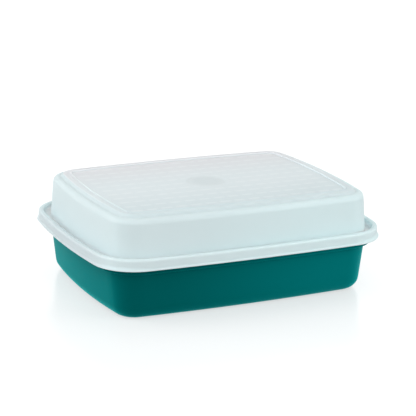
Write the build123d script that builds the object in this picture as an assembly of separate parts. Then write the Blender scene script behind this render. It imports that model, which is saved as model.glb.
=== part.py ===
from build123d import *
import os
from math import acos, ceil, pi, radians, sin, sqrt, tan

# Marinating container in two mouldings, in millimetres.
# A coloured tray carries a sheer domed cover. Seen from above both are bowed
# rounded rectangles. The cover's rim is an upturned channel that closes over
# the upright lip of the tray, with a moat between the rim and the dome.
# Each wall is a section of insets and heights carried round such an outline.
# Frame: origin at the middle of the face the tray stands on, +X along the
# length, +Y towards the back, +Z up.

# Rim of the cover, measured over its outer wall
RIM_LENGTH = 343.0
RIM_WIDTH = 262.0
RIM_END_BOW = 9.9
RIM_SIDE_BOW = 5.1
RIM_CORNER_RADIUS = 48.7
RIM_TOP_RADIUS = 2.2
RIM_INNER_CHAMFER = 1.0

# Heights of the closed container above the surface it stands on
RIM_TOP_HEIGHT = 72.0
COVER_TOP_HEIGHT = 112.9

# Cover: wall, moat, skirt and the lip that the fingers lift
COVER_WALL = 1.6
MOAT_DEPTH = 8.0
MOAT_AT_ENDS = 7.5
MOAT_AT_SIDES = 4.4
SKIRT_DROP = 12.1
LIFT_LIP_REACH = 1.1
LIFT_LIP_EDGE = 1.1
LIFT_LIP_FLARE = 3.4
LIFT_LIP_SLOPE = 36.0
LIFT_LIP_CORNER_RADIUS = 46.6

# Cover: dome, shoulder, raised top and its sunk panel
DOME_END_BOW = 8.2
DOME_SIDE_BOW = 6.5
DOME_CORNER_RADIUS = 34.8
DOME_DRAFT = 4.5
SHOULDER_RADIUS = 6.0
PLATEAU_RISE = 3.0
PLATEAU_SET_IN = 7.2
PLATEAU_SLOPE = 22.0
PLATEAU_EDGE_RADIUS = 1.6
BEAD_SET_IN = 18.0
BEAD_WIDTH = 3.0
BEAD_HEIGHT = 0.6
BEAD_SLOPE = 40.0
PANEL_DEPTH = 0.6
DISC_DIAMETER = 46.0
DISC_DEPTH = 0.5

# Tray: wall, floor and foot
TRAY_WALL = 2.2
TRAY_SET_IN_ENDS = 14.3
TRAY_SET_IN_SIDES = 13.1
TRAY_END_BOW = 9.2
TRAY_SIDE_BOW = 5.6
TRAY_CORNER_RADIUS = 31.4
TRAY_DRAFT = 4.5
TRAY_BOTTOM_RADIUS = 18.0
FOOT_WIDTH = 3.4
FOOT_RECESS = 0.8

# Tray: stepped collar under the rim and the upright sealing lip
SHELF_HEIGHT = 53.5
COLLAR_SET_IN = 7.5
COLLAR_CHAMFER = 0.8
LIP_CLEARANCE = 0.5
LIP_THICKNESS = 2.2
LIP_HEADROOM = 0.4
LIP_CHAMFER = 0.6
CATCH_REACH = 0.2
CATCH_HEIGHT = 1.6
CATCH_DROP = 1.6

# Ribs inside both halves, which keep the food clear of the wall: short ones
# under the top, and a grid on the tray's floor
RIB_WIDTH = 2.2
RIB_HEIGHT = 1.4
RIB_LENGTH = 12.0
RIB_PITCH = 17.0
GRID_PITCH = 34.0
RIB_MARGIN = 9.0

# A round is drawn as equal chords that stay this near to its arc, because an
# arc carried along such long bows takes many times the facets
ROUND_DEVIATION = 0.5

# Heights that follow from the sizes above
MOAT_FLOOR = RIM_TOP_HEIGHT - MOAT_DEPTH
SEAT_HEIGHT = MOAT_FLOOR - COVER_WALL
SKIRT_FOOT = RIM_TOP_HEIGHT - SKIRT_DROP
CHANNEL_TOP = RIM_TOP_HEIGHT - COVER_WALL
LEDGE_HEIGHT = COVER_TOP_HEIGHT - PLATEAU_RISE
PANEL_HEIGHT = COVER_TOP_HEIGHT - PANEL_DEPTH
LIP_TOP = CHANNEL_TOP - LIP_HEADROOM
FLANGE_FOOT = SEAT_HEIGHT - TRAY_WALL
FLOOR_TOP = TRAY_WALL + FOOT_RECESS

# Insets from the rim's outer wall that follow from the sizes above
LIP_SET_IN = COVER_WALL + LIP_CLEARANCE
CHANNEL_INNER = LIP_SET_IN + LIP_THICKNESS + LIP_CLEARANCE
RIM_INNER = CHANNEL_INNER + COVER_WALL

# Size of the dome over its foot and of the tray over its wall at the shelf
DOME_LENGTH = RIM_LENGTH - 2 * (RIM_INNER + MOAT_AT_ENDS)
DOME_WIDTH = RIM_WIDTH - 2 * (RIM_INNER + MOAT_AT_SIDES)
TRAY_LENGTH = RIM_LENGTH - 2 * TRAY_SET_IN_ENDS
TRAY_WIDTH = RIM_WIDTH - 2 * TRAY_SET_IN_SIDES


def bowed_rectangle(length, width, end_bow, side_bow, corner_radius, inset=0.0):
    """Rounded rectangle whose four sides are arcs that bulge outward.

    Length and width are measured over the middles of the bowed sides. An
    inset draws the parallel outline inside it, with the same arc centres."""
    corner_x = length / 2 - end_bow
    corner_y = width / 2 - side_bow
    side_radius = (corner_x**2 + side_bow**2) / (2 * side_bow)
    end_radius = (corner_y**2 + end_bow**2) / (2 * end_bow)
    side_centre = Vector(0, width / 2 - side_radius)
    end_centre = Vector(length / 2 - end_radius, 0)

    # Centre of the corner arc, which touches both side arcs from inside
    between = side_centre - end_centre
    to_end = end_radius - corner_radius
    to_side = side_radius - corner_radius
    along = (to_end**2 - to_side**2 + between.length**2) / (2 * between.length)
    across = sqrt(to_end**2 - along**2)
    line = between.normalized()
    corner = end_centre + line * along + Vector(-line.Y, line.X) * across

    # Points of one quarter: on the end, in the corner and on the side
    end_way = (corner - end_centre).normalized()
    side_way = (corner - side_centre).normalized()
    e = end_centre + end_way * (end_radius - inset)
    s = side_centre + side_way * (side_radius - inset)
    c = corner + (end_way + side_way).normalized() * (corner_radius - inset)
    x_max = length / 2 - inset
    y_max = width / 2 - inset
    loop = [
        (e.X, -e.Y), (x_max, 0), (e.X, e.Y), (c.X, c.Y), (s.X, s.Y), (0, y_max),
        (-s.X, s.Y), (-c.X, c.Y), (-e.X, e.Y), (-x_max, 0), (-e.X, -e.Y), (-c.X, -c.Y),
        (-s.X, -s.Y), (0, -y_max), (s.X, -s.Y), (c.X, -c.Y), (e.X, -e.Y),
    ]
    arcs = [ThreePointArc(*loop[i : i + 3]) for i in range(0, len(loop) - 1, 2)]
    return make_face(Wire(arcs))


def rim_outline(inset=0.0):
    """Outline parallel to the rim's outer wall, set in from it."""
    return bowed_rectangle(
        RIM_LENGTH, RIM_WIDTH, RIM_END_BOW, RIM_SIDE_BOW, RIM_CORNER_RADIUS, inset
    )


def lift_lip_outline(inset=0.0):
    """Outline of the flared lip round the skirt's foot, wider at the corners."""
    length = RIM_LENGTH + 2 * LIFT_LIP_REACH
    width = RIM_WIDTH + 2 * LIFT_LIP_REACH
    return bowed_rectangle(
        length, width, RIM_END_BOW, RIM_SIDE_BOW, LIFT_LIP_CORNER_RADIUS, inset
    )


def dome_outline(inset=0.0):
    """Outline of the dome at its foot, set in from its outer wall."""
    return bowed_rectangle(
        DOME_LENGTH, DOME_WIDTH, DOME_END_BOW, DOME_SIDE_BOW, DOME_CORNER_RADIUS, inset
    )


def tray_outline(inset=0.0):
    """Outline of the tray's wall at the shelf, set in from its outside."""
    return bowed_rectangle(
        TRAY_LENGTH, TRAY_WIDTH, TRAY_END_BOW, TRAY_SIDE_BOW, TRAY_CORNER_RADIUS, inset
    )


def narrowing(rise, slope):
    """How far a wall that leans by a slope moves in over a rise."""
    return rise * tan(radians(slope))


def section(*corners):
    """Points of a wall's section through corners of (inset, height).

    A corner with a radius is an arc that touches the straights on both
    sides of it, drawn as equal chords."""
    points = []
    for i, corner in enumerate(corners):
        here = Vector(*corner[:2])
        if len(corner) == 2:
            points.append(here)
            continue
        radius = corner[2]
        back = (Vector(*corners[i - 1][:2]) - here).normalized()
        on = (Vector(*corners[i + 1][:2]) - here).normalized()
        half = radians(back.get_angle(on)) / 2
        swing = pi - 2 * half
        chords = ceil(swing / (2 * acos(1 - ROUND_DEVIATION / radius)))
        centre = here + (back + on).normalized() * (radius / sin(half))
        start = here + back * (radius / tan(half)) - centre
        end = here + on * (radius / tan(half)) - centre
        for k in range(chords + 1):
            way = start * sin((1 - k / chords) * swing) + end * sin(k / chords * swing)
            points.append(centre + way * (1 / sin(swing)))
    return points


def moulding(outline, points):
    """Solid whose wall follows a section round an outline, bottom to top."""
    bands = []
    for low, high in zip(points, points[1:]):
        if high.Y > low.Y:
            foot = Pos(0, 0, low.Y) * outline(low.X)
            head = Pos(0, 0, high.Y) * outline(high.X)
            bands.append(loft([foot, head], ruled=True))
    return bands[0] + bands[1:]


def slab(outline, start, end):
    """Upright solid on an outline, from one height to another."""
    return extrude(Pos(0, 0, start) * outline, amount=end - start)


def ring(outer, inner, start, end):
    """Upright wall between two outlines."""
    return slab(outer, start, end) - slab(inner, start, end)


def places_across(flat, pitch):
    """How many places at a pitch fit across a flat, clear of its edges."""
    return int((flat - 2 * RIB_MARGIN) / pitch) + 1


def short_ribs(length, width, face, height, bare_radius):
    """Short lengthwise ribs on a square lattice, left out round the middle."""
    columns = places_across(length, RIB_PITCH)
    rows = places_across(width, RIB_PITCH)
    spots = GridLocations(RIB_PITCH, RIB_PITCH, columns, rows).locations
    kept = [spot for spot in spots if spot.position.length > bare_radius + RIB_LENGTH / 2]
    bar = Rectangle(RIB_LENGTH, RIB_WIDTH)
    return [extrude(Pos(0, 0, face) * spot * bar, amount=height) for spot in kept]


def rib_grid(length, width, face, height):
    """Crossing ribs that run on over the whole flat."""
    columns = places_across(length, GRID_PITCH)
    rows = places_across(width, GRID_PITCH)
    lengthwise = Rectangle((columns - 1) * GRID_PITCH + RIB_WIDTH, RIB_WIDTH)
    crosswise = Rectangle(RIB_WIDTH, (rows - 1) * GRID_PITCH + RIB_WIDTH)
    bars = [spot * lengthwise for spot in GridLocations(GRID_PITCH, GRID_PITCH, 1, rows)]
    bars += [spot * crosswise for spot in GridLocations(GRID_PITCH, GRID_PITCH, columns, 1)]
    return [extrude(Pos(0, 0, face) * bar, amount=height) for bar in bars]


def dome_skin():
    """Solid inside the dome's outer face: drafted wall, shoulder, plateau."""
    ledge_edge = narrowing(LEDGE_HEIGHT - SEAT_HEIGHT, DOME_DRAFT)
    step_foot = ledge_edge + PLATEAU_SET_IN
    step_head = step_foot + narrowing(PLATEAU_RISE, PLATEAU_SLOPE)
    return moulding(dome_outline, section(
        (0, SEAT_HEIGHT),
        (ledge_edge, LEDGE_HEIGHT, SHOULDER_RADIUS),
        (step_foot, LEDGE_HEIGHT),
        (step_head, COVER_TOP_HEIGHT, PLATEAU_EDGE_RADIUS),
        (ledge_edge + BEAD_SET_IN, COVER_TOP_HEIGHT),
    ))


def dome_hollow():
    """Space inside the dome, one wall in from its outer face."""
    ceiling = LEDGE_HEIGHT - COVER_WALL
    ledge_edge = COVER_WALL + narrowing(ceiling - SEAT_HEIGHT, DOME_DRAFT)
    step_shift = COVER_WALL * tan(radians(45 - PLATEAU_SLOPE / 2))
    step_foot = narrowing(LEDGE_HEIGHT - SEAT_HEIGHT, DOME_DRAFT) + PLATEAU_SET_IN + step_shift
    step_head = step_foot + narrowing(PLATEAU_RISE, PLATEAU_SLOPE)
    return moulding(dome_outline, section(
        (COVER_WALL, SEAT_HEIGHT),
        (ledge_edge, ceiling, SHOULDER_RADIUS - COVER_WALL),
        (step_foot, ceiling),
        (step_head, COVER_TOP_HEIGHT - COVER_WALL),
    ))


def lifting_lip():
    """Flared edge round the foot of the skirt, which its slope runs into."""
    edge_top = SKIRT_FOOT + LIFT_LIP_EDGE
    return moulding(lift_lip_outline, section(
        (0, SKIRT_FOOT),
        (0, edge_top),
        (narrowing(LIFT_LIP_FLARE, LIFT_LIP_SLOPE), edge_top + LIFT_LIP_FLARE),
    ))


def rim_block():
    """Rim, skirt and lifting lip round the moat, before hollowing."""
    rim = moulding(rim_outline, section(
        (0, SKIRT_FOOT),
        (0, RIM_TOP_HEIGHT, RIM_TOP_RADIUS),
        (RIM_INNER, RIM_TOP_HEIGHT),
    ))
    moat = moulding(rim_outline, section(
        (RIM_INNER, MOAT_FLOOR),
        (RIM_INNER, RIM_TOP_HEIGHT - RIM_INNER_CHAMFER),
        (RIM_INNER - RIM_INNER_CHAMFER, RIM_TOP_HEIGHT),
    ))
    return rim + lifting_lip() - moat


def cover():
    """Sheer cover in one moulding, with the ribs under its top."""
    body = rim_block() + dome_skin()

    # Inside of the skirt, channel for the tray's lip, and inside of the dome
    body -= slab(rim_outline(COVER_WALL), SKIRT_FOOT, SEAT_HEIGHT)
    channel = ring(rim_outline(COVER_WALL), rim_outline(CHANNEL_INNER), SEAT_HEIGHT, CHANNEL_TOP)
    body -= channel + dome_hollow()

    # Bead round the top, sunk panel inside it and bare disc at the middle
    bead_inset = narrowing(LEDGE_HEIGHT - SEAT_HEIGHT, DOME_DRAFT) + BEAD_SET_IN
    panel_inset = bead_inset + BEAD_WIDTH
    bead_top = COVER_TOP_HEIGHT + BEAD_HEIGHT
    body += moulding(dome_outline, section(
        (bead_inset, COVER_TOP_HEIGHT),
        (bead_inset + narrowing(BEAD_HEIGHT, BEAD_SLOPE), bead_top),
    ))
    body += slab(dome_outline(bead_inset), PANEL_HEIGHT - COVER_WALL, COVER_TOP_HEIGHT)
    body -= slab(dome_outline(panel_inset), PANEL_HEIGHT, bead_top)
    ceiling = PANEL_HEIGHT - COVER_WALL
    body -= slab(Circle(DISC_DIAMETER / 2), PANEL_HEIGHT - DISC_DEPTH, PANEL_HEIGHT)
    body += slab(Circle(DISC_DIAMETER / 2 + COVER_WALL), ceiling - DISC_DEPTH, ceiling)
    length = DOME_LENGTH - 2 * panel_inset
    width = DOME_WIDTH - 2 * panel_inset
    return body + short_ribs(length, width, ceiling, -RIB_HEIGHT, DISC_DIAMETER / 2)


def tray_skin():
    """Solid inside the tray's outer face: wall, collar and flange."""
    foot = narrowing(SHELF_HEIGHT, TRAY_DRAFT)
    wall = moulding(tray_outline, section(
        (foot + TRAY_BOTTOM_RADIUS, 0),
        (foot, 0, TRAY_BOTTOM_RADIUS),
        (0, SHELF_HEIGHT),
    ))
    collar = moulding(rim_outline, section(
        (COLLAR_SET_IN + COLLAR_CHAMFER, SHELF_HEIGHT),
        (COLLAR_SET_IN, SHELF_HEIGHT + COLLAR_CHAMFER),
        (COLLAR_SET_IN, FLANGE_FOOT),
    ))
    return wall + collar + slab(rim_outline(LIP_SET_IN), FLANGE_FOOT, SEAT_HEIGHT)


def tray_hollow():
    """Space inside the tray, above its floor and above the shelf."""
    shelf_top = SHELF_HEIGHT + TRAY_WALL
    foot = TRAY_WALL + narrowing(SHELF_HEIGHT - FLOOR_TOP, TRAY_DRAFT)
    well = moulding(tray_outline, section(
        (foot + TRAY_BOTTOM_RADIUS, FLOOR_TOP),
        (foot, FLOOR_TOP, TRAY_BOTTOM_RADIUS - TRAY_WALL),
        (TRAY_WALL - narrowing(TRAY_WALL, TRAY_DRAFT), shelf_top),
    ))
    return well + slab(rim_outline(COLLAR_SET_IN + TRAY_WALL), shelf_top, SEAT_HEIGHT)


def sealing_lip():
    """Upright lip round the flange, with the catch that grips the cover."""
    outer = moulding(rim_outline, section(
        (LIP_SET_IN, SEAT_HEIGHT),
        (LIP_SET_IN, LIP_TOP - LIP_CHAMFER),
        (LIP_SET_IN + LIP_CHAMFER, LIP_TOP),
    ))
    catch_top = LIP_TOP - CATCH_DROP
    catch = moulding(rim_outline, section(
        (LIP_SET_IN - CATCH_REACH, catch_top - CATCH_HEIGHT),
        (LIP_SET_IN, catch_top),
    ))
    return outer + catch - slab(rim_outline(LIP_SET_IN + LIP_THICKNESS), SEAT_HEIGHT, LIP_TOP)


def tray():
    """Tray in one moulding, standing on a ring round its sunk underside."""
    body = tray_skin() - tray_hollow() + sealing_lip()
    round_run = TRAY_BOTTOM_RADIUS * tan(radians(45 - TRAY_DRAFT / 2))
    flat_inset = narrowing(SHELF_HEIGHT, TRAY_DRAFT) + round_run
    body -= slab(tray_outline(flat_inset + FOOT_WIDTH), 0, FOOT_RECESS)
    length = TRAY_LENGTH - 2 * (flat_inset + FOOT_WIDTH)
    width = TRAY_WIDTH - 2 * (flat_inset + FOOT_WIDTH)
    return body + rib_grid(length, width, FLOOR_TOP, RIB_HEIGHT)


os.makedirs("parts", exist_ok=True)
for name, model in {"tray": tray(), "cover": cover()}.items():
    export_step(model, f"parts/{name}.step")
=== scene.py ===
from math import acos, atan2, cos, hypot, pi, radians, sin, sqrt, tan

import bmesh
import bpy
import numpy as np
from mathutils import Matrix, Vector


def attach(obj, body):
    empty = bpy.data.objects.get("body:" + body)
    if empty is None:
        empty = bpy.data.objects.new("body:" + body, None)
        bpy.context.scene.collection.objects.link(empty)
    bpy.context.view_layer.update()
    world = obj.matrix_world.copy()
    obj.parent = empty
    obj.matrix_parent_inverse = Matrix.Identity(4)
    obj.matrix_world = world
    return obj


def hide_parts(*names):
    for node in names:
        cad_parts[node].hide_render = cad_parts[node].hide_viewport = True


# Looks of the marinating container: a teal tray under a sheer white cover.
# Both are mouldings of an even wall, so each is drawn as one closed skin: a
# section of insets and heights carried round a bowed rounded rectangle.
# Lengths are in millimetres up to the moment a mesh is filled.

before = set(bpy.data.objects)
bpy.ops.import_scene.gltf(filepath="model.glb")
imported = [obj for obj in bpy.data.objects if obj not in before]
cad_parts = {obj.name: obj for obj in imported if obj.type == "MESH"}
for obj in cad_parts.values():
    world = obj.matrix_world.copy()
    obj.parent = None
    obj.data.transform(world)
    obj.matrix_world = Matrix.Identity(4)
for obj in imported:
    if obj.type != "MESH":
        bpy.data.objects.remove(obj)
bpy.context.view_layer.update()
MM = 0.001


def about_middle(count, pitch):
    """Places of a count of ribs at a pitch, evenly about 0."""
    return pitch * (np.arange(count) - (count - 1) / 2)


# Rim of the cover over its outer wall, and the flared lip round its foot
RIM = dict(length=343.0, width=262.0, end_bow=9.9, side_bow=5.1, corner=48.7)
RIM_TOP = 72.0
RIM_ROUND = 2.2
LIFT_LIP_REACH = 1.05
LIFT_LIP_EDGE = 1.1
LIFT_LIP_SLOPE = 36.0
SKIRT_DROP = 12.1
MOAT_DEPTH = 8.0
MOAT_ROUND = 1.2
MOAT_RUN = 1.8

# Cover: wall, channel over the tray's lip, dome and stepped top
WALL = 1.6
LIP_CLEARANCE = 0.5
LIP_THICKNESS = 2.2
MOAT_AT_ENDS = 7.5
MOAT_AT_SIDES = 4.4
TOP = 112.9
STEP_RISE = 3.0
SHOULDER_ROUND = 6.0
DOME_DRAFT = 4.5
STEP_SET_IN = 8.0
STEP_SLOPE = 46.0
STEP_ROUND = 3.0
BEAD_SET_IN = 18.0
BEAD_WIDTH = 3.0
BEAD_HEIGHT = 0.6
BEAD_ROUND = 0.9
PANEL_DEPTH = 0.6
DISC_RADIUS = 23.0
DISC_DEPTH = 0.5
DISC_SLOPE = 3.0
DISC_ROUND = 0.8

# Tray: wall, foot ring, stepped collar and sealing lip with its catch
TRAY_AT_ENDS = 14.3
TRAY_AT_SIDES = 13.1
TRAY_WALL = 2.2
TRAY_DRAFT = 6.5
TRAY_ROUND = 14.0
FOOT_WIDTH = 3.4
FOOT_RECESS = 0.8
SHELF = 53.5
SHELF_ROUND = 2.0
SHELF_RUN = 2.6
COLLAR_SET_IN = 7.5
LIP_HEADROOM = 0.4
CATCH_REACH = 0.2
CATCH_HEIGHT = 1.6
CATCH_DROP = 1.6

# Rounds left by the mould on its edges, the turn past which an edge is drawn
# sharp, and how far a section runs on along a flat past its last corner
CRISP = 0.3
EASED = 0.8
SHARP_TURN = 32.0
RUN_ON = 2.0
DISC_RUN = 4.0
PANEL_RUN = 3.0
CEILING_RUN = 1.5
FOOT_RUN = 3.0
FLOOR_RUN = 1.0

# Ribs: short ones under the top, and a grid on the tray's floor
RIB_LENGTH = 12.0
RIB_WIDTH = 2.2
RIB_HEIGHT = 1.4
RIB_FLANK = 0.35
RIB_PITCH = 17.0
RIB_COLUMNS = about_middle(15, RIB_PITCH)
RIB_ROWS = about_middle(11, RIB_PITCH)
GRID_PITCH = 34.0
GRID_COLUMNS = about_middle(8, GRID_PITCH)
GRID_ROWS = about_middle(6, GRID_PITCH)
GRID_LINES_BETWEEN = 3

# Heights that follow
MOAT_FLOOR = RIM_TOP - MOAT_DEPTH
SEAT = MOAT_FLOOR - WALL
SKIRT_FOOT = RIM_TOP - SKIRT_DROP
LIFT_LIP_TOP = SKIRT_FOOT + LIFT_LIP_EDGE
LEDGE = TOP - STEP_RISE
PANEL = TOP - PANEL_DEPTH
CHANNEL_TOP = RIM_TOP - WALL
LIP_TOP = CHANNEL_TOP - LIP_HEADROOM
FLOOR_TOP = TRAY_WALL + FOOT_RECESS

# Insets that follow, from the rim's outline and from the dome's
LIP_SET_IN = WALL + LIP_CLEARANCE
CHANNEL_INNER = LIP_SET_IN + LIP_THICKNESS + LIP_CLEARANCE
RIM_INNER = CHANNEL_INNER + WALL
DOME_TAPER = tan(radians(DOME_DRAFT))
SHOULDER = (LEDGE - SEAT) * DOME_TAPER
STEP = SHOULDER + STEP_SET_IN
STEP_RUN = STEP_RISE * tan(radians(STEP_SLOPE))
BEAD = SHOULDER + BEAD_SET_IN
BEAD_FLANK = BEAD_WIDTH / 4
PANEL_EDGE = BEAD + BEAD_WIDTH

# Outlines that follow
LIFT_LIP = dict(
    RIM, corner=46.6,
    length=RIM["length"] + 2 * LIFT_LIP_REACH,
    width=RIM["width"] + 2 * LIFT_LIP_REACH,
)
DOME = dict(
    length=RIM["length"] - 2 * (RIM_INNER + MOAT_AT_ENDS),
    width=RIM["width"] - 2 * (RIM_INNER + MOAT_AT_SIDES),
    end_bow=8.2, side_bow=6.5, corner=34.8,
)
TRAY = dict(
    length=RIM["length"] - 2 * TRAY_AT_ENDS,
    width=RIM["width"] - 2 * TRAY_AT_SIDES,
    end_bow=9.2, side_bow=5.6, corner=31.4,
)


def outline(turns, length, width, end_bow, side_bow, corner):
    """Points of a bowed rounded rectangle whose outward normals have the turns.

    Every side is an arc about a centre on an axis, and every corner an arc
    that touches both. A point is its arc's centre plus the arc's radius
    along the normal, so an inset is a step back along that normal."""
    x, y = length / 2 - end_bow, width / 2 - side_bow
    side_radius = (x * x + side_bow * side_bow) / (2 * side_bow)
    end_radius = (y * y + end_bow * end_bow) / (2 * end_bow)
    side_centre, end_centre = width / 2 - side_radius, length / 2 - end_radius
    between = np.array([-end_centre, side_centre])
    gap = hypot(*between)
    to_end, to_side = end_radius - corner, side_radius - corner
    along = (to_end**2 - to_side**2 + gap**2) / (2 * gap)
    way = between / gap
    across = sqrt(to_end**2 - along**2) * np.array([-way[1], way[0]])
    centre = np.array([end_centre, 0]) + along * way + across
    end_turn = atan2(centre[1], centre[0] - end_centre)
    side_turn = atan2(centre[1] - side_centre, centre[0])

    nx, ny = np.cos(turns), np.sin(turns)
    folded = np.arctan2(np.abs(ny), np.abs(nx))
    on_end, on_side = folded < end_turn, folded > side_turn
    cx = np.where(on_end, end_centre, np.where(on_side, 0.0, centre[0]))
    cy = np.where(on_end, 0.0, np.where(on_side, side_centre, centre[1]))
    radius = np.where(on_end, end_radius, np.where(on_side, side_radius, corner))
    return np.stack([np.sign(nx) * cx + radius * nx, np.sign(ny) * cy + radius * ny], -1)


def turns_round(end_steps, side_steps, fine_steps=40000):
    """Angles of the normals round the container, starting at a corner.

    A stretch from corner to corner has equal steps in the summed length of
    all the outlines, so that neither a corner nor a bowed side is left with
    long chords."""
    quarter = np.linspace(-pi / 4, pi / 4, fine_steps + 1)
    stretches = []
    for k, steps in enumerate((end_steps, side_steps, end_steps, side_steps)):
        fine = quarter + k * pi / 2
        points = [outline(fine, **form) for form in (RIM, DOME, TRAY)]
        lengths = [np.hypot(*np.diff(point, axis=0).T) for point in points]
        run = np.concatenate([[0], np.cumsum(np.sum(lengths, axis=0))])
        stretches.append(np.interp(np.linspace(0, run[-1], steps + 1)[:-1], run, fine))
    return np.concatenate(stretches)


def rounded(corners, steps=6, support=0.35):
    """Section through corner points, with an arc of the given radius at each.

    A corner is (inset, height) or (inset, height, radius). The arc touches
    both straights: its centre is a radius over the sine of half the angle
    away along the bisector. A support point just off each arc keeps the
    straight beside it flat when it is shaded."""
    path = []
    for i, corner in enumerate(corners):
        here = np.array(corner[:2], float)
        if len(corner) == 2:
            path.append(here[None])
            continue
        radius = corner[2]
        before = np.array(corners[i - 1][:2], float) - here
        after = np.array(corners[i + 1][:2], float) - here
        before, after = before / hypot(*before), after / hypot(*after)
        half = acos(np.clip(before @ after, -1, 1)) / 2
        centre = here + (before + after) / hypot(*(before + after)) * radius / sin(half)
        start = here + before * radius / tan(half) - centre
        end = here + after * radius / tan(half) - centre
        first = atan2(start[1], start[0])
        swing = (atan2(end[1], end[0]) - first + pi) % (2 * pi) - pi
        angle = first + swing * np.linspace(0, 1, steps + 1)
        arc = centre + radius * np.stack([np.cos(angle), np.sin(angle)], -1)
        path.append(np.vstack([arc[:1] + support * before, arc, arc[-1:] + support * after]))
    return np.vstack(path)


def level_ring(points, height):
    """Ring of points in the plane, lifted to a height of its own or in common."""
    return np.column_stack([points, np.broadcast_to(height, len(points))])[None]


def band(turns, form, section):
    """Rings of points: the outline of a form, stepped in by each inset."""
    base = outline(turns, **form)
    normal = np.stack([np.cos(turns), np.sin(turns)], -1)
    return np.concatenate([level_ring(base - inset * normal, height) for inset, height in section])


def disc_band(turns, section):
    """Rings on circles about the middle axis, through (radius, height)."""
    base = outline(turns, **DOME)
    way = base / np.hypot(*base.T)[:, None]
    return np.concatenate([level_ring(radius * way, height) for radius, height in section])


def flare(turns, steps=5):
    """Rings down the foot of the skirt, where it runs out into the lifting lip.

    The slope starts at the lip's edge and rises at its own angle until it
    meets the skirt, so it meets it higher at the corners, where the lip
    stands out further. A quadratic curve rounds the joint: its ends lie on
    the wall and half way down the slope, and its control point is the joint."""
    skirt, edge = outline(turns, **RIM), outline(turns, **LIFT_LIP)
    normal = np.stack([np.cos(turns), np.sin(turns)], -1)
    stands_out = np.sum((edge - skirt) * normal, axis=-1)
    meets = LIFT_LIP_TOP + stands_out / tan(radians(LIFT_LIP_SLOPE))
    wall = level_ring(skirt, meets + EASED)
    joint = level_ring(skirt, meets)
    slope = joint + (level_ring(edge, LIFT_LIP_TOP) - joint) / 2
    t = np.linspace(0, 1, steps)[:, None, None]
    return (1 - t) ** 2 * wall + 2 * t * (1 - t) * joint + t**2 * slope


def lattice_lines(middles, half, between=0):
    """Lines across one way of a lattice of ribs, sorted.

    They are the foot and the top of both flanks of every rib, lines spaced
    evenly between the ribs, and one just outside the last."""
    flanks = [middles + side * reach for side in (-1, 1) for reach in (half, half - RIB_FLANK)]
    spaced = [middles[:-1] + np.diff(middles) * k / (between + 1) for k in range(1, between + 1)]
    outside = middles[[0, -1]] + np.array([-1, 1]) * (half + CRISP)
    return np.sort(np.concatenate(flanks + spaced + [outside]))


def ramp(distance, half):
    """From 0 at a rib's foot, half its width away, to 1 at the top of its flank."""
    return np.clip((half - distance) / RIB_FLANK, 0, 1)


def off_nearest(value, middles):
    """Distance of each value from the nearest of the middles."""
    return np.abs(value[..., None] - middles).min(-1)


def short_ribs(x, y):
    """Ribs under the top, 0 to 1: a ramp along each times a ramp across it.

    The ribs that would reach the bare disc are left out."""
    column = RIB_COLUMNS[np.abs(x[..., None] - RIB_COLUMNS).argmin(-1)]
    row = RIB_ROWS[np.abs(y[..., None] - RIB_ROWS).argmin(-1)]
    kept = np.hypot(column, row) > DISC_RADIUS + RIB_LENGTH / 2
    return kept * ramp(np.abs(x - column), RIB_LENGTH / 2) * ramp(np.abs(y - row), RIB_WIDTH / 2)


def floor_grid(x, y):
    """Grid of ribs on the tray's floor, 0 to 1: the higher of the ramps across
    the lengthwise and the crosswise ribs, each cut off by a ramp at its end."""
    half = RIB_WIDTH / 2
    lengthwise = ramp(off_nearest(y, GRID_ROWS), half) * ramp(np.abs(x), GRID_COLUMNS[-1] + half)
    crosswise = ramp(off_nearest(x, GRID_COLUMNS), half) * ramp(np.abs(y), GRID_ROWS[-1] + half)
    return np.maximum(lengthwise, crosswise)


def closed_skin(name, rings_of, middle_height, lattice, relief, flat_height, rib_height):
    """Closed mesh of one moulding.

    Its rings of equal count are joined by quads. The first ring closes on a
    point at the middle, and the last meets the edge of a lattice, whose
    height is the flat's plus the rib height times the relief. Whether a ring
    faces the moat goes with the mesh as an attribute."""
    x_lines, y_lines = lattice
    turns = turns_round(y_lines.size - 1, x_lines.size - 1)
    rings, faces_moat = rings_of(turns)
    rows, count = rings.shape[:2]
    ring = np.arange(rows * count).reshape(rows, count)
    following = np.roll(ring, -1, axis=1)
    middle = rows * count
    fan = np.stack([np.full(count, middle), following[0], ring[0]], -1)

    x, y = np.meshgrid(x_lines, y_lines, indexing="ij")
    z = flat_height + rib_height * relief(x, y)
    grid = middle + 1 + np.arange(x.size).reshape(x.shape)
    edge = np.concatenate([grid[-1, :-1], grid[:0:-1, -1], grid[0, :0:-1], grid[:-1, 0]])
    vertices = np.vstack([
        rings.reshape(-1, 3),
        [[0, 0, middle_height]],
        np.stack([x, y, z], -1).reshape(-1, 3),
    ])
    quads = np.vstack([
        np.stack([ring[:-1], following[:-1], following[1:], ring[1:]], -1).reshape(-1, 4),
        np.stack([grid[:-1, :-1], grid[:-1, 1:], grid[1:, 1:], grid[1:, :-1]], -1).reshape(-1, 4),
        np.stack([ring[-1], following[-1], np.roll(edge, -1), edge], -1),
    ])
    piece = fill_mesh(name, vertices, quads, fan)
    faces = np.concatenate([np.repeat(faces_moat, count), np.zeros(1 + x.size)])
    attribute = piece.data.attributes.new("faces_moat", "FLOAT", "POINT")
    attribute.data.foreach_set("value", faces.astype(np.float32))
    return piece


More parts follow.
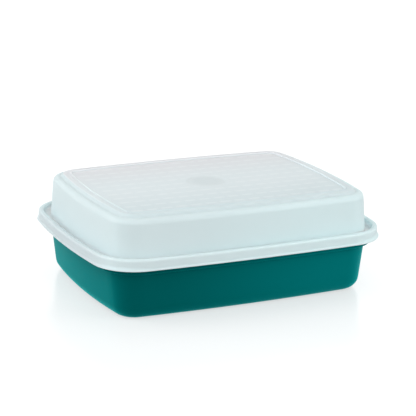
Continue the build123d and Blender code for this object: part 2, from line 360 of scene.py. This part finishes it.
def fill_mesh(name, vertices, quads, triangles):
    """Object in metres from whole arrays of vertices, quads and triangles,
    with its faces turned outwards."""
    mesh = bpy.data.meshes.new(name)
    sizes = np.concatenate([np.full(len(quads), 4), np.full(len(triangles), 3)])
    corners = np.concatenate([quads.ravel(), triangles.ravel()])
    mesh.vertices.add(len(vertices))
    mesh.vertices.foreach_set("co", (vertices * MM).astype(np.float32).ravel())
    mesh.loops.add(corners.size)
    mesh.loops.foreach_set("vertex_index", corners.astype(np.int32))
    mesh.polygons.add(sizes.size)
    mesh.polygons.foreach_set("loop_start", (np.cumsum(sizes) - sizes).astype(np.int32))
    mesh.update(calc_edges=True)
    mesh.validate()
    turned = bmesh.new()
    turned.from_mesh(mesh)
    bmesh.ops.recalc_face_normals(turned, faces=turned.faces)
    turned.to_mesh(mesh)
    turned.free()
    mesh.shade_smooth()
    mesh.set_sharp_from_angle(angle=radians(SHARP_TURN))
    piece = bpy.data.objects.new(name, mesh)
    bpy.context.scene.collection.objects.link(piece)
    return piece


def disc_section():
    """Shallow dish in the middle of the top, by radius and height."""
    return rounded([
        (DISC_RADIUS - DISC_SLOPE - DISC_RUN, PANEL - DISC_DEPTH),
        (DISC_RADIUS - DISC_SLOPE, PANEL - DISC_DEPTH, DISC_ROUND),
        (DISC_RADIUS, PANEL, DISC_ROUND),
        (DISC_RADIUS + RUN_ON, PANEL),
    ], steps=3)


def dome_section():
    """Outside of the dome: panel, bead, step, shoulder, wall and moat floor."""
    return rounded([
        (PANEL_EDGE + PANEL_RUN, PANEL),
        (PANEL_EDGE, PANEL, BEAD_ROUND),
        (PANEL_EDGE - BEAD_FLANK, TOP + BEAD_HEIGHT, BEAD_ROUND),
        (BEAD + BEAD_FLANK, TOP + BEAD_HEIGHT, BEAD_ROUND),
        (BEAD, TOP, BEAD_ROUND),
        (STEP + STEP_RUN, TOP, STEP_ROUND),
        (STEP, LEDGE, STEP_ROUND),
        (SHOULDER, LEDGE, SHOULDER_ROUND),
        ((MOAT_FLOOR - SEAT) * DOME_TAPER, MOAT_FLOOR, MOAT_ROUND),
        (-MOAT_RUN, MOAT_FLOOR),
    ], support=0.2)


def rim_section():
    """From the moat's floor over the rim to the skirt, which the flare takes on."""
    return rounded([
        (RIM_INNER + MOAT_RUN, MOAT_FLOOR),
        (RIM_INNER, MOAT_FLOOR, MOAT_ROUND),
        (RIM_INNER, RIM_TOP, RIM_ROUND),
        (0.0, RIM_TOP, RIM_ROUND),
        (0.0, SKIRT_FOOT),
    ])[:-1]


def lift_lip_section():
    """Edge of the lifting lip, between the flare and the skirt's foot."""
    return rounded([
        (LIFT_LIP_EDGE * tan(radians(LIFT_LIP_SLOPE)), LIFT_LIP_TOP + LIFT_LIP_EDGE),
        (0.0, LIFT_LIP_TOP, CRISP),
        (0.0, SKIRT_FOOT, CRISP),
        (RUN_ON, SKIRT_FOOT),
    ], support=0.1)[1:-1]


def channel_section():
    """Channel that closes over the tray's sealing lip, up and down again."""
    return rounded([
        (-RUN_ON, SKIRT_FOOT),
        (WALL, SKIRT_FOOT, CRISP),
        (WALL, CHANNEL_TOP, EASED),
        (CHANNEL_INNER, CHANNEL_TOP, EASED),
        (CHANNEL_INNER, SEAT, CRISP),
        (CHANNEL_INNER + RUN_ON, SEAT),
    ])[1:-1]


def ceiling_section():
    """Inside of the dome, a wall's thickness from its outside."""
    ceiling = LEDGE - WALL
    step = STEP + WALL * tan(radians(45 - STEP_SLOPE / 2))
    return rounded([
        (-RUN_ON, SEAT),
        (WALL, SEAT, CRISP),
        (WALL + (ceiling - SEAT) * DOME_TAPER, ceiling, SHOULDER_ROUND - WALL),
        (step, ceiling, STEP_ROUND + WALL),
        (step + STEP_RUN, TOP - WALL, EASED),
        (BEAD, TOP - WALL, CRISP),
        (BEAD, PANEL - WALL, CRISP),
        (BEAD + CEILING_RUN, PANEL - WALL),
    ])[1:]


def cover_rings(turns):
    """Rings of the cover from the middle of its top, over the rim and back
    under the top. Those before the middle of the rim's top face the moat."""
    disc, outside, rim = disc_section(), dome_section(), rim_section()
    rings = np.concatenate([
        disc_band(turns, disc),
        band(turns, DOME, outside),
        band(turns, RIM, rim),
        flare(turns),
        band(turns, LIFT_LIP, lift_lip_section()),
        band(turns, RIM, channel_section()),
        band(turns, DOME, ceiling_section()),
    ])
    rim_middle = np.argmax(rim[:, 0] < RIM_INNER / 2)
    return rings, np.arange(len(rings)) < len(disc) + len(outside) + rim_middle


def tray_rings(turns):
    """Rings of the tray from the middle of its underside, up the outside,
    over the sealing lip and down the inside to the floor. None faces the moat."""
    taper = tan(radians(TRAY_DRAFT))
    foot = SHELF * taper
    sunk = foot + TRAY_ROUND * tan(radians(45 - TRAY_DRAFT / 2)) + FOOT_WIDTH
    outside = rounded([
        (sunk + FOOT_RUN, FOOT_RECESS),
        (sunk, FOOT_RECESS, CRISP),
        (sunk, 0.0, CRISP),
        (foot, 0.0, TRAY_ROUND),
        (0.0, SHELF, SHELF_ROUND),
        (-SHELF_RUN, SHELF),
    ], steps=8)
    catch_top = LIP_TOP - CATCH_DROP
    flange_foot = SEAT - TRAY_WALL
    collar_inner = COLLAR_SET_IN + TRAY_WALL
    shelf_top = SHELF + TRAY_WALL
    collar = rounded([
        (COLLAR_SET_IN + RUN_ON, SHELF),
        (COLLAR_SET_IN, SHELF, EASED),
        (COLLAR_SET_IN, flange_foot, EASED),
        (LIP_SET_IN, flange_foot, CRISP),
        (LIP_SET_IN, catch_top - CATCH_HEIGHT - CRISP),
        (LIP_SET_IN - CATCH_REACH, catch_top - CATCH_HEIGHT),
        (LIP_SET_IN, catch_top),
        (LIP_SET_IN, LIP_TOP, EASED),
        (LIP_SET_IN + LIP_THICKNESS, LIP_TOP, EASED),
        (LIP_SET_IN + LIP_THICKNESS, SEAT, CRISP),
        (collar_inner, SEAT, EASED),
        (collar_inner, shelf_top, EASED),
        (collar_inner + RUN_ON, shelf_top),
    ], steps=4, support=0.15)
    inside = rounded([
        (TRAY_WALL - RUN_ON, shelf_top),
        (TRAY_WALL * (1 - taper), shelf_top, EASED),
        (TRAY_WALL + (SHELF - FLOOR_TOP) * taper, FLOOR_TOP, TRAY_ROUND - TRAY_WALL),
        (sunk + FLOOR_RUN, FLOOR_TOP),
    ], steps=8)
    rings = np.concatenate([
        band(turns, TRAY, outside),
        band(turns, RIM, collar),
        band(turns, TRAY, inside),
    ])
    return rings, np.zeros(len(rings))


def linear(hex_colour, alpha=1.0):
    """Scene-linear colour from an sRGB hex value."""
    value = np.array([int(hex_colour[i : i + 2], 16) for i in (1, 3, 5)]) / 255
    low, high = value / 12.92, ((value + 0.055) / 1.055) ** 2.4
    return (*np.where(value <= 0.04045, low, high).tolist(), alpha)


def add_node(tree, kind, settings=None, links=None, **attributes):
    """Adds one node, sets its attributes and sockets, and links its inputs."""
    node = tree.nodes.new(kind)
    for key, value in attributes.items():
        setattr(node, key, value)
    for key, value in (settings or {}).items():
        node.inputs[key].default_value = value
    for key, source in (links or {}).items():
        tree.links.new(source, node.inputs[key])
    return node


def new_material(name):
    """Empty material and its node tree."""
    material = bpy.data.materials.new(name)
    material.use_nodes = True
    material.node_tree.nodes.clear()
    return material, material.node_tree


def combined(tree, operation, first, second):
    """Output of two values joined by an operation; the second may be a number."""
    if isinstance(second, (int, float)):
        node = add_node(tree, "ShaderNodeMath", {1: second}, {0: first}, operation=operation)
    else:
        node = add_node(tree, "ShaderNodeMath", links={0: first, 1: second}, operation=operation)
    return node.outputs[0]


def product(tree, *factors):
    """Output of the factors multiplied together."""
    result = factors[0]
    for factor in factors[1:]:
        result = combined(tree, "MULTIPLY", result, factor)
    return result


def mapped(tree, value, before=(0.0, 1.0), after=(0.0, 1.0), kind="LINEAR"):
    """Output of a value taken from one range to another, and held at its ends."""
    settings = dict(zip(("From Min", "From Max", "To Min", "To Max"), (*before, *after)))
    return add_node(
        tree, "ShaderNodeMapRange", settings, {"Value": value}, interpolation_type=kind,
    ).outputs["Result"]


def fades(tree, value, start, end, high=1.0):
    """Smooth change from 0 at a start in mm to a high at an end in mm."""
    return mapped(tree, value, (start * MM, end * MM), (0.0, high), "SMOOTHSTEP")


def noise(tree, place, size, detail):
    """Noise on object coordinates whose features are a size in mm."""
    settings = {"Scale": 1 / (size * MM), "Detail": detail}
    return add_node(tree, "ShaderNodeTexNoise", settings, {"Vector": place}).outputs["Fac"]


def blended(tree, factor, first, second):
    """Output of two colours mixed by a factor; each is a hex value or an output."""
    node = add_node(tree, "ShaderNodeMix", links={"Factor": factor}, data_type="RGBA")
    for key, colour in (("A", first), ("B", second)):
        socket = next(s for s in node.inputs if s.name == key and s.type == "RGBA")
        if isinstance(colour, str):
            socket.default_value = linear(colour)
        else:
            tree.links.new(colour, socket)
    return next(s for s in node.outputs if s.type == "RGBA")


def part_along(tree, place, mask):
    """Distance from the middle along the axes that the mask keeps."""
    kept = add_node(tree, "ShaderNodeVectorMath", {1: mask}, {0: place}, operation="MULTIPLY")
    return add_node(
        tree, "ShaderNodeVectorMath", links={0: kept.outputs[0]}, operation="LENGTH",
    ).outputs["Value"]


# Pits of a spark-eroded mould are about 0.1 mm across, and drawn at 1 mm so
# that they show
PIT_SIZE = 1.0
PIT_DEPTH = 0.3


def spark_grain(tree, place, strength):
    """Normal with the fine pits that a spark-eroded mould leaves."""
    pits = noise(tree, place, PIT_SIZE, 2.0)
    settings = {"Strength": strength, "Distance": PIT_DEPTH * MM}
    return add_node(tree, "ShaderNodeBump", settings, {"Height": pits}).outputs["Normal"]


# Marks that the melt's flow leaves in the gloss, and the height up to which
# the tray's foot is in its own shade
FLOW_SIZE = 70.0
FOOT_SHADE = (9.0, 1.0)


def satin_teal_polypropylene():
    """Moulded polypropylene in a deep teal.

    Pigment through the whole wall gives an even, saturated colour. Painted
    light makes it a little lighter towards +X, the end that the light falls
    on. The satin mould face has hardly any white gloss: where it is seen at a
    glancing angle it blooms in the pigment's own hue. Painted shade darkens
    it where it turns under at the foot."""
    material, tree = new_material("satin_teal_polypropylene")
    place = add_node(tree, "ShaderNodeTexCoord").outputs["Object"]
    split = add_node(tree, "ShaderNodeSeparateXYZ", links={"Vector": place})
    dark_end, light_end = -0.45 * TRAY["length"], 0.36 * TRAY["length"]
    # Painted light: lighter towards +X, the end that the light falls on
    painted_end_light = fades(tree, split.outputs["X"], dark_end, light_end)
    pigment = blended(tree, painted_end_light, "#004F4F", "#006869")
    # Painted shade: darker near the foot, where the wall turns under
    pigment = blended(tree, fades(tree, split.outputs["Z"], *FOOT_SHADE), pigment, "#003638")
    shader = add_node(
        tree, "ShaderNodeBsdfPrincipled",
        {
            "IOR": 1.49,
            "Specular IOR Level": 0.02,
            "Specular Tint": linear("#00B4B4"),
            "Sheen Weight": 0.85,
            "Sheen Roughness": 0.5,
            "Sheen Tint": linear("#00E0E0"),
        },
        {
            "Base Color": pigment,
            "Roughness": mapped(tree, noise(tree, place, FLOW_SIZE, 3.0), after=(0.36, 0.46)),
            "Normal": spark_grain(tree, place, 0.06),
        },
    )
    add_node(tree, "ShaderNodeOutputMaterial", links={"Surface": shader.outputs["BSDF"]})
    return material


# How much paler than the top its ribs show, how far their ends fade, and how
# deep light goes into the cover's plastic
RIB_PALENESS = 0.2
RIB_END_FADE = 2.4
LIGHT_DEPTH = 5.0

# Clouds in the cover's wall, and heights and turns over which its tones change
CLOUD_SIZE = 110.0
TOP_STARTS = (LEDGE, TOP - 1.0)
FOOT_EDGE = (SKIRT_FOOT + 0.9, SKIRT_FOOT + 0.1)
RISER_FOOT = (LEDGE - 0.3, LEDGE + 0.3)
RISER_HEAD = (TOP - 0.1, TOP - 0.5)
RISER_UPRIGHT = (0.995, 0.8)


def rib_dashes(tree, place, x, y):
    """Where the short ribs show through the top: 0 off them, and up to their
    paleness on them. The product of a fade along each rib, one across it, one
    past the last rib each way and one at the bare disc."""
    half, half_pitch = RIB_LENGTH / 2, RIB_PITCH / 2
    last_column, last_row = RIB_COLUMNS[-1], RIB_ROWS[-1]
    off_column, off_row = (combined(tree, "PINGPONG", way, half_pitch * MM) for way in (x, y))
    far_x, far_y, from_middle = (
        part_along(tree, place, mask) for mask in ((1, 0, 0), (0, 1, 0), (1, 1, 0))
    )
    return product(
        tree,
        fades(tree, off_column, half + RIB_END_FADE, half - RIB_END_FADE),
        fades(tree, off_row, 2 * RIB_WIDTH, RIB_WIDTH / 5, high=RIB_PALENESS),
        fades(tree, far_x, last_column + half_pitch, last_column + half),
        fades(tree, far_y, last_row + half_pitch, last_row + RIB_WIDTH),
        fades(tree, from_middle, DISC_RADIUS, DISC_RADIUS + half),
    )


def on_riser(tree, normal, z):
    """Where the top's step rises: between its two heights and off the level."""
    facing = add_node(tree, "ShaderNodeSeparateXYZ", links={"Vector": normal})
    level = add_node(
        tree, "ShaderNodeMath", links={0: facing.outputs["Z"]}, operation="ABSOLUTE",
    ).outputs[0]
    return product(
        tree, mapped(tree, level, RISER_UPRIGHT),
        fades(tree, z, *RISER_FOOT), fades(tree, z, *RISER_HEAD),
    )


def wall_tone(tree, place, x, z):
    """Colour of the walls and the rim.

    The walls are cloudy, and painted light makes them lighter and bluer
    towards +X. Painted light brightens the moat, as light that bounces
    about in it would, less so at its wide ends. Painted shade greys the
    rim's end at -X, and painted light from the floor edges the skirt's foot."""
    walls = blended(tree, noise(tree, place, CLOUD_SIZE, 3.0), "#D0E3E6", "#D4E6E9")
    # Painted light: lighter and bluer towards +X
    painted_light_to_plus_x = fades(tree, x, -0.35 * DOME["length"], 0.3 * DOME["length"])
    walls = blended(tree, painted_light_to_plus_x, walls, "#D5EEF1")

    length = RIM["length"]
    faces_moat = add_node(tree, "ShaderNodeAttribute", attribute_name="faces_moat").outputs["Fac"]
    # Painted light in the moat: white along its sides, a little greyer at its ends
    in_moat = product(tree, faces_moat, fades(tree, z, RIM_TOP, MOAT_FLOOR))
    at_ends = fades(tree, part_along(tree, place, (1, 0, 0)), 0.42 * length, 0.46 * length)
    walls = blended(tree, in_moat, walls, blended(tree, at_ends, "#FFFFFF", "#EEF5F7"))
    # Painted shade: greyer at the rim's end at -X
    walls = blended(tree, fades(tree, x, -0.46 * length, -0.5 * length), walls, "#C6D3D7")
    # Painted light from the floor along the foot of the skirt
    return blended(tree, fades(tree, z, *FOOT_EDGE), walls, "#E4FAFF")


def top_tone(tree, place, x, y, on_top):
    """Colour of the top. Painted light makes it cool at the front, lightest in
    the middle and nearly neutral at the back. It has paler dashes and a duller disc."""
    front, back = -0.45 * DOME["width"], 0.45 * DOME["width"]
    # Painted light: cool at the front, lightest in the middle, neutral at the back
    top = blended(tree, fades(tree, y, front, 0.0), "#CFE0E4", "#DCEAEE")
    top = blended(tree, fades(tree, y, 0.0, back), top, "#DEE1E5")
    from_middle = part_along(tree, place, (1, 1, 0))
    disc = product(tree, on_top, fades(tree, from_middle, DISC_RADIUS + 1.0, DISC_RADIUS / 2))
    top = blended(tree, disc, top, "#D5E4E8")
    dashes = product(tree, on_top, rib_dashes(tree, place, x, y))
    return blended(tree, dashes, top, "#F4FDFF")


def sheer_white_polyethylene():
    """Moulded low-density polyethylene with little pigment.

    Light goes into the wall and comes out beside where it went in, which
    softens every edge. The tray's colour comes through the lower walls, the
    top is nearer to a neutral white, its ribs show from above as paler
    dashes, and the thinner disc in its middle as a dull patch. Painted shade
    darkens the step that rises round the top."""
    material, tree = new_material("sheer_white_polyethylene")
    coordinates = add_node(tree, "ShaderNodeTexCoord")
    place = coordinates.outputs["Object"]
    split = add_node(tree, "ShaderNodeSeparateXYZ", links={"Vector": place})
    x, y, z = (split.outputs[axis] for axis in "XYZ")
    on_top = fades(tree, z, *TOP_STARTS)
    colour = blended(
        tree, on_top, wall_tone(tree, place, x, z), top_tone(tree, place, x, y, on_top),
    )
    # Painted shade on the step that rises round the top
    riser_shade = on_riser(tree, coordinates.outputs["Normal"], z)
    shader = add_node(
        tree, "ShaderNodeBsdfPrincipled",
        {
            "IOR": 1.51,
            "Roughness": 0.55,
            "Specular IOR Level": 0.36,
            "Subsurface Weight": 0.7,
            "Subsurface Scale": LIGHT_DEPTH * MM,
            "Subsurface Radius": (1.0, 1.0, 1.0),
        },
        {
            "Base Color": blended(tree, riser_shade, colour, "#CCDDE0"),
            "Normal": spark_grain(tree, place, 0.05),
        },
    )
    add_node(tree, "ShaderNodeOutputMaterial", links={"Surface": shader.outputs["BSDF"]})
    return material


# Light that the table gives to the eye and to glosses alone
TABLE_GLOW = 0.6


def white_acrylic_sheet():
    """Cast acrylic sheet, glossy and white: it mirrors the tray softly, and
    the glow that it gives to the eye alone keeps it white up to the
    object's shadow."""
    material, tree = new_material("white_acrylic_sheet")
    shader = add_node(
        tree, "ShaderNodeBsdfPrincipled",
        {"Base Color": linear("#B2B2B2"), "Roughness": 0.22, "IOR": 1.45},
    )
    path = add_node(tree, "ShaderNodeLightPath").outputs
    seen = combined(tree, "MAXIMUM", path["Is Camera Ray"], path["Is Glossy Ray"])
    glow = add_node(
        tree, "ShaderNodeEmission",
        {"Color": linear("#FBFEFF")}, {"Strength": combined(tree, "MULTIPLY", seen, TABLE_GLOW)},
    )
    both = add_node(
        tree, "ShaderNodeAddShader",
        links={0: shader.outputs["BSDF"], 1: glow.outputs["Emission"]},
    )
    add_node(tree, "ShaderNodeOutputMaterial", links={"Surface": both.outputs["Shader"]})
    return material


def dress(piece, body, material, node):
    """Gives a piece its finish and says what it stands for."""
    piece.data.materials.append(material)
    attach(piece, body)
    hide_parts(node)


def table(reach=3.0):
    """Square of floor, in metres, that the container stands on."""
    mesh = bpy.data.meshes.new("table")
    corners = [(-reach, -reach, 0), (reach, -reach, 0), (reach, reach, 0), (-reach, reach, 0)]
    mesh.from_pydata(corners, [], [(0, 1, 2, 3)])
    mesh.materials.append(white_acrylic_sheet())
    floor = bpy.data.objects.new("table", mesh)
    bpy.context.scene.collection.objects.link(floor)


# Level of the white room as light, and as seen by the eye or in a gloss
ROOM_LIGHT = 0.6
ROOM_SEEN = 1.0

# Soft boxes: place and width in metres, power in watts, and the height in
# metres on the container's middle axis that they face
SOFT_BOXES = {
    "left_box": ((-1.8, 0.4, 0.9), 2.0, 23.5),
    "top_box": ((0.2, 0.6, 1.8), 1.6, 2.0),
    "front_box": ((-0.5, -1.9, 0.8), 1.4, 13.0),
    "right_box": ((1.4, -1.2, 0.7), 1.2, 10.0),
}
FACED_HEIGHT = 0.05


def room():
    """White world, brighter to the eye and in glosses than as light."""
    world = bpy.data.worlds.new("white_room")
    world.use_nodes = True
    tree = world.node_tree
    tree.nodes.clear()
    path = add_node(tree, "ShaderNodeLightPath").outputs
    seen = combined(tree, "MAXIMUM", path["Is Camera Ray"], path["Is Glossy Ray"])
    seen = combined(tree, "MAXIMUM", seen, path["Is Transmission Ray"])
    back = add_node(
        tree, "ShaderNodeBackground", {"Color": linear("#FFFFFF")},
        {"Strength": mapped(tree, seen, after=(ROOM_LIGHT, ROOM_SEEN))},
    )
    add_node(tree, "ShaderNodeOutputWorld", links={"Surface": back.outputs["Background"]})
    bpy.context.scene.world = world


def soft_boxes():
    """Square area lamps that face the container."""
    for name, (place, width, power) in SOFT_BOXES.items():
        lamp = bpy.data.lights.new(name, "AREA")
        lamp.size = width
        lamp.energy = power
        box = bpy.data.objects.new(name, lamp)
        box.location = place
        way = Vector((0, 0, FACED_HEIGHT)) - Vector(place)
        box.rotation_euler = way.to_track_quat("-Z", "Y").to_euler()
        bpy.context.scene.collection.objects.link(box)


# Camera, solved from the outlines in the photograph's 416 pixel frame
FRAME_PIXELS = 416
SENSOR = 36.0
FOCAL_PIXELS = 1606.38
CAMERA_AZIMUTH = -25.11
CAMERA_ELEVATION = 15.72
CAMERA_ROLL = 0.97
CAMERA_DISTANCE = 1805.8
TARGET_HEIGHT = 56.54
TARGET_OFFSET_PIXELS = (-2.23, 20.74)


def camera():
    """Camera that sees a point on the object's middle axis at the target
    offset from the picture's middle, from the solved direction."""
    azimuth, elevation, roll = map(radians, (CAMERA_AZIMUTH, CAMERA_ELEVATION, CAMERA_ROLL))
    back = Vector((sin(azimuth) * cos(elevation), -cos(azimuth) * cos(elevation), sin(elevation)))
    level = Vector((cos(azimuth), sin(azimuth), 0))
    rise = back.cross(level)
    right = cos(roll) * level + sin(roll) * rise
    up = cos(roll) * rise - sin(roll) * level
    across, down = (offset / FOCAL_PIXELS for offset in TARGET_OFFSET_PIXELS)
    aim = Vector((across, -down, -1)).normalized()
    ray = aim.x * right + aim.y * up + aim.z * back
    place = (Vector((0, 0, TARGET_HEIGHT)) - CAMERA_DISTANCE * ray) * MM
    data = bpy.data.cameras.new("camera")
    data.sensor_width = SENSOR
    data.lens = FOCAL_PIXELS / FRAME_PIXELS * SENSOR
    seen = bpy.data.objects.new("camera", data)
    seen.matrix_world = Matrix.Translation(place) @ Matrix((right, up, back)).transposed().to_4x4()
    bpy.context.scene.collection.objects.link(seen)
    bpy.context.scene.camera = seen


cover = closed_skin(
    "sheer_cover", cover_rings, PANEL - DISC_DEPTH,
    (lattice_lines(RIB_COLUMNS, RIB_LENGTH / 2), lattice_lines(RIB_ROWS, RIB_WIDTH / 2)),
    short_ribs, PANEL - WALL, -RIB_HEIGHT,
)
tray = closed_skin(
    "moulded_tray", tray_rings, FOOT_RECESS,
    [lattice_lines(ribs, RIB_WIDTH / 2, GRID_LINES_BETWEEN) for ribs in (GRID_COLUMNS, GRID_ROWS)],
    floor_grid, FLOOR_TOP, RIB_HEIGHT,
)
dress(cover, "cover_body", sheer_white_polyethylene(), "cover")
dress(tray, "tray_body", satin_teal_polypropylene(), "tray")
table()
room()
soft_boxes()
camera()
bpy.context.scene.view_settings.view_transform = "Standard"
